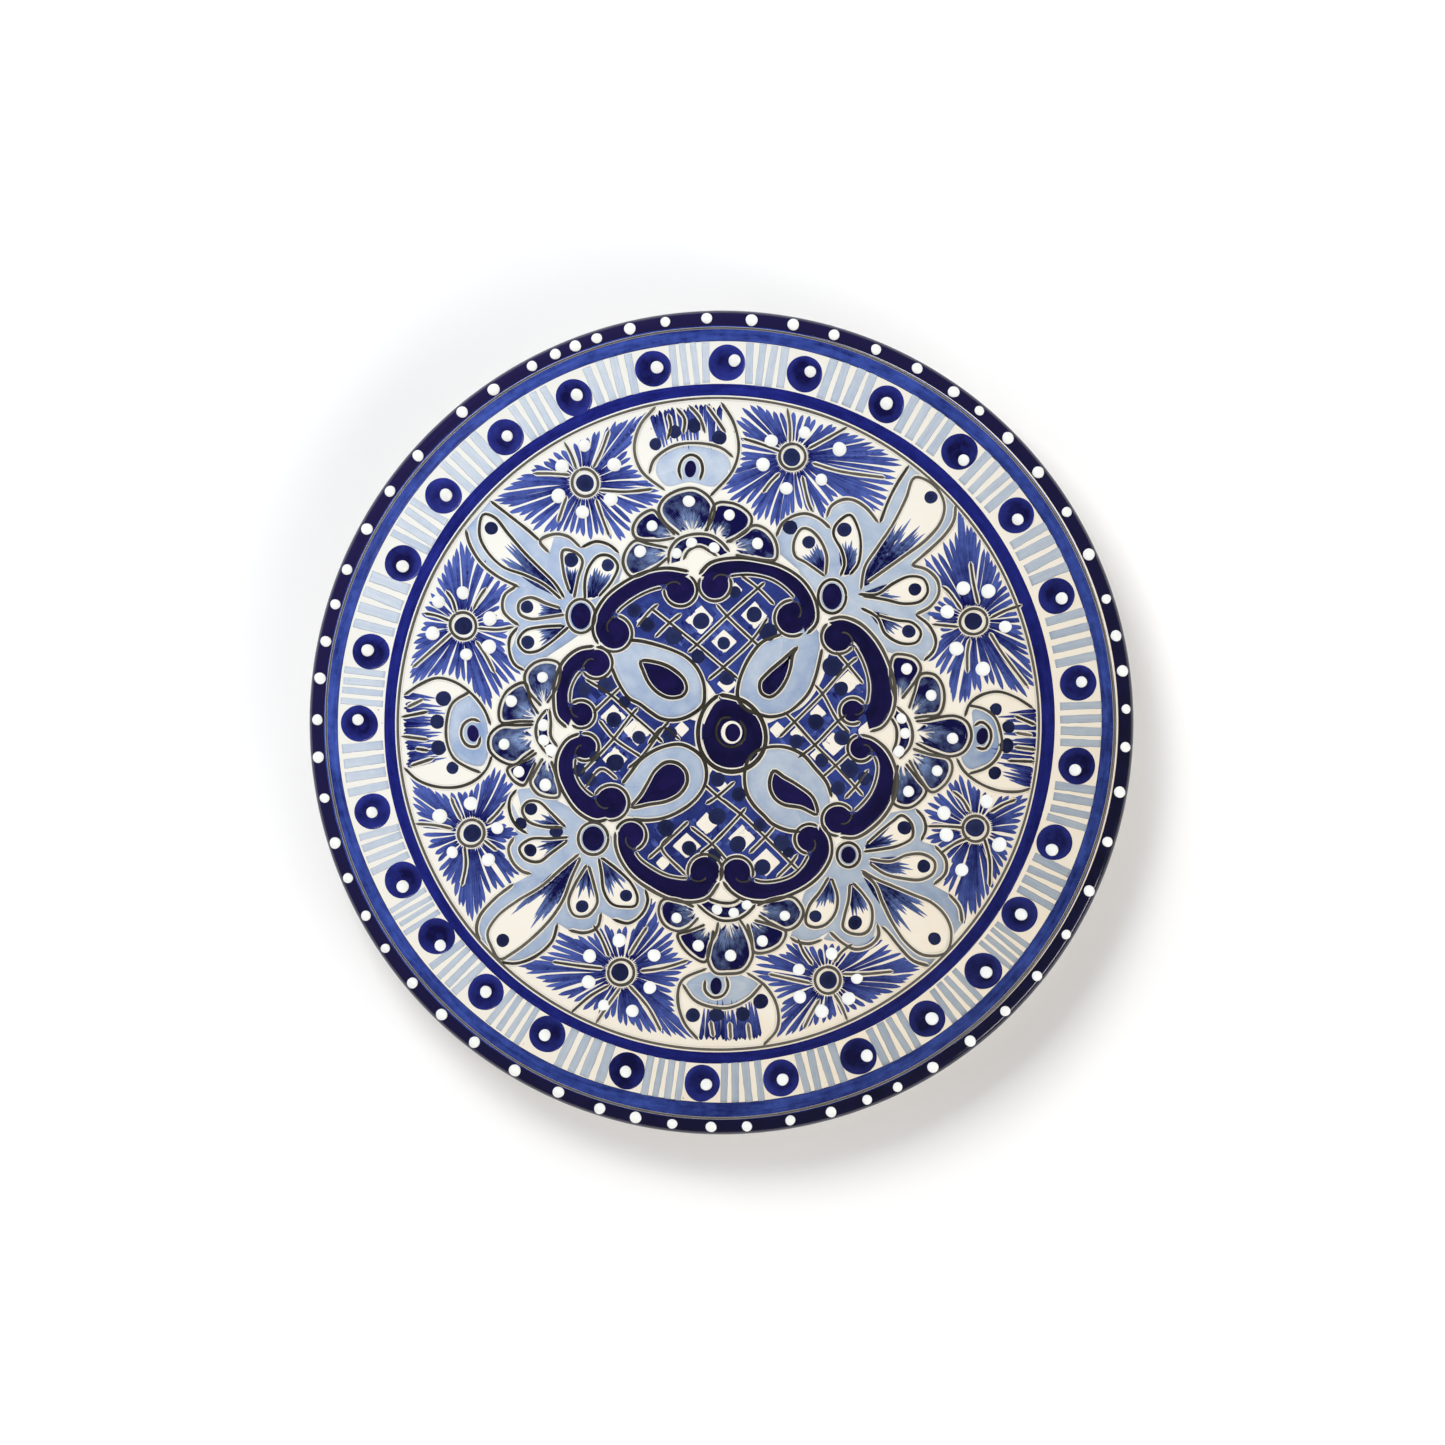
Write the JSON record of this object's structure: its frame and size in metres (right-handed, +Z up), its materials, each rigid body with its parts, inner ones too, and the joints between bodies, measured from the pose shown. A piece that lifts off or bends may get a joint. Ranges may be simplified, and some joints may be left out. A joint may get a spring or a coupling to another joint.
{
  "type": "plate",
  "caption": "Round coupe serving plate in glazed earthenware on a foot ring, its face painted in blues with piped outlines and raised beads.",
  "frame": {"origin": "centre of the foot ring, on the plane that the plate rests on", "axes": "+Z up out of the painted face, +Y towards the top of the painted pattern, +X to its right"},
  "size_m": [0.3, 0.3, 0.0327],
  "materials": {
    "fired_clay": "bare terracotta, matt, slightly gritty",
    "white_glaze": "opaque tin-white gloss glaze, warm cream where it runs thick",
    "navy_lip_glaze": "near-black navy gloss glaze",
    "dark_cobalt": "brushed dark cobalt under gloss",
    "mid_blue": "brushed mid blue under gloss, streaked",
    "pale_blue_wash": "thin pale-blue wash, mottled",
    "white_bead": "raised white slip bead, gloss",
    "slate_dot": "slate-blue raised dot, gloss",
    "umber_trail": "raised olive-umber piped line, semi-gloss"
  },
  "bodies": {
    "root": {"clay_body": "fired_clay", "face_glaze": "white_glaze", "back_glaze": "white_glaze", "lip_glaze": "navy_lip_glaze", "lip_beads": "white_bead", "ring_trails": "umber_trail", "outer_band": "mid_blue", "inner_band": "dark_cobalt", "border_stripes": "pale_blue_wash", "border_roundels": "dark_cobalt", "roundel_beads": "white_bead", "centre_disc": "dark_cobalt", "centre_white": "white_bead", "centre_trail": "umber_trail", "petal_washes": "pale_blue_wash", "petal_cores": "dark_cobalt", "petal_trails": "umber_trail", "lattice_grounds": "mid_blue", "lattice_trails": "umber_trail", "lattice_dots": "slate_dot", "scroll_bands": "dark_cobalt", "scroll_trails": "umber_trail", "fan_petals": "dark_cobalt", "fan_trails": "umber_trail", "fan_beads": "white_bead", "cup_washes": "pale_blue_wash", "cup_eyes": "dark_cobalt", "cup_trails": "umber_trail", "leaf_fills": "mid_blue", "leaf_roots": "dark_cobalt", "leaf_trails": "umber_trail", "slate_dots": "slate_dot", "starburst_strokes": "mid_blue", "starburst_rays": "umber_trail", "starburst_rings": "umber_trail", "starburst_eyes": "dark_cobalt", "starburst_beads": "white_bead"}
  },
  "joints": []
}
